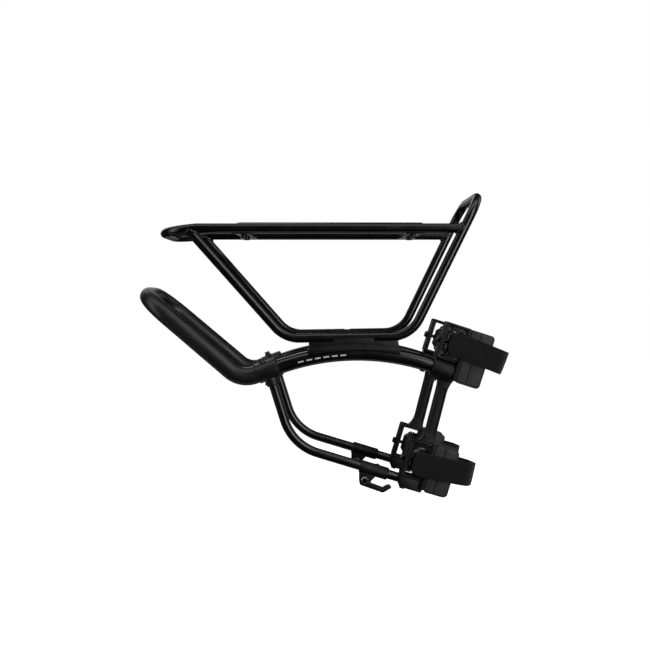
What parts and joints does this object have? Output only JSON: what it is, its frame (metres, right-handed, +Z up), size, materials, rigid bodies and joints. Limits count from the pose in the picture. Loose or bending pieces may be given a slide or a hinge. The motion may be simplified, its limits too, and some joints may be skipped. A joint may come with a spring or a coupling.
{
  "type": "bicycle rear rack",
  "caption": "Tubular bicycle rear rack with a slotted bag track, strapped to the seat stays by padded brackets, with a tyre-hugging rear loop and sliding pannier hooks",
  "frame": {"origin": "midway between the groove floors of the two upper saddle pads, where the rack meets the seat stays", "axes": "+X forward along the bicycle, +Y to the bicycle's left, +Z up"},
  "size_m": [0.3989, 0.146, 0.3233],
  "materials": {
    "gloss_black_tube": "gloss black paint",
    "satin_black_tube": "satin black powder coat",
    "black_plastic": "fine moulded texture",
    "black_rubber": "matte",
    "strap_fabric": "hook-and-loop webbing",
    "black_screw": "black oxide",
    "bright_steel": "bright zinc"
  },
  "bodies": {
    "base_frame": {"rear_loop": "satin_black_tube", "arch_right": "gloss_black_tube", "sleeve_right": "satin_black_tube", "sleeve_screw_right": "black_screw", "strut_right": "gloss_black_tube", "stay_bracket_right": "black_plastic", "pad_upper_right": "black_rubber", "tension_bolt_upper_right": "black_screw", "socket_screw_upper_right": "black_screw", "pad_lower_right": "black_rubber", "tension_bolt_lower_right": "black_screw", "socket_screw_lower_right": "black_screw", "arch_left": "gloss_black_tube", "sleeve_left": "satin_black_tube", "sleeve_screw_left": "black_screw", "strut_left": "gloss_black_tube", "stay_bracket_left": "black_plastic", "pad_upper_left": "black_rubber", "tension_bolt_upper_left": "black_screw", "socket_screw_upper_left": "black_screw", "pad_lower_left": "black_rubber", "tension_bolt_lower_left": "black_screw", "socket_screw_lower_left": "black_screw"},
    "platform": {"top_rail": "gloss_black_tube", "front_hoop": "gloss_black_tube", "cross_plate_rear": "gloss_black_tube", "cross_plate_front": "gloss_black_tube", "track_plate": "satin_black_tube", "plate_bolt_rear_right": "black_screw", "plate_bolt_rear_left": "black_screw", "plate_bolt_front_right": "black_screw", "plate_bolt_front_left": "black_screw", "side_frame_right": "gloss_black_tube", "cradle_right": "black_plastic", "cradle_bolt_right": "black_screw", "side_frame_left": "gloss_black_tube", "cradle_left": "black_plastic", "cradle_bolt_left": "black_screw"},
    "carriage_upper_right": {"tension_block_upper_right": "black_plastic", "strap_staple_upper_right": "bright_steel", "strap_upper_right": "strap_fabric"},
    "carriage_lower_right": {"tension_block_lower_right": "black_plastic", "strap_staple_lower_right": "bright_steel", "strap_lower_right": "strap_fabric"},
    "hook_right": {"hook_clamp_right": "black_plastic", "hook_bolt_right": "black_screw", "hook_nut_right": "bright_steel"},
    "carriage_upper_left": {"tension_block_upper_left": "black_plastic", "strap_staple_upper_left": "bright_steel", "strap_upper_left": "strap_fabric"},
    "carriage_lower_left": {"tension_block_lower_left": "black_plastic", "strap_staple_lower_left": "bright_steel", "strap_lower_left": "strap_fabric"},
    "hook_left": {"hook_clamp_left": "black_plastic", "hook_bolt_left": "black_screw", "hook_nut_left": "bright_steel"}
  },
  "joints": [
    {"name": "platform_tilt", "type": "hinge", "parent": "base_frame", "child": "platform", "pos_m": [-0.12085, 0, -0.2408], "axis": [0, 1, 0], "range_deg": [-4, 3]},
    {"name": "tension_upper_right", "type": "slide", "parent": "base_frame", "child": "carriage_upper_right", "axis": [0.9521, 0, -0.3057], "range_m": [-0.0025, 0.001]},
    {"name": "tension_upper_left", "type": "slide", "parent": "base_frame", "child": "carriage_upper_left", "axis": [0.9521, 0, -0.3057], "range_m": [-0.0025, 0.001]},
    {"name": "tension_lower_right", "type": "slide", "parent": "base_frame", "child": "carriage_lower_right", "axis": [0.9588, 0, -0.284], "range_m": [-0.0025, 0.001]},
    {"name": "tension_lower_left", "type": "slide", "parent": "base_frame", "child": "carriage_lower_left", "axis": [0.9588, 0, -0.284], "range_m": [-0.0025, 0.001]},
    {"name": "hook_slide_right", "type": "slide", "parent": "base_frame", "child": "hook_right", "axis": [0.9567, 0, -0.2911], "range_m": [-0.03, 0.003]},
    {"name": "hook_slide_left", "type": "slide", "parent": "base_frame", "child": "hook_left", "axis": [0.9567, 0, -0.2911], "range_m": [-0.03, 0.003]}
  ]
}
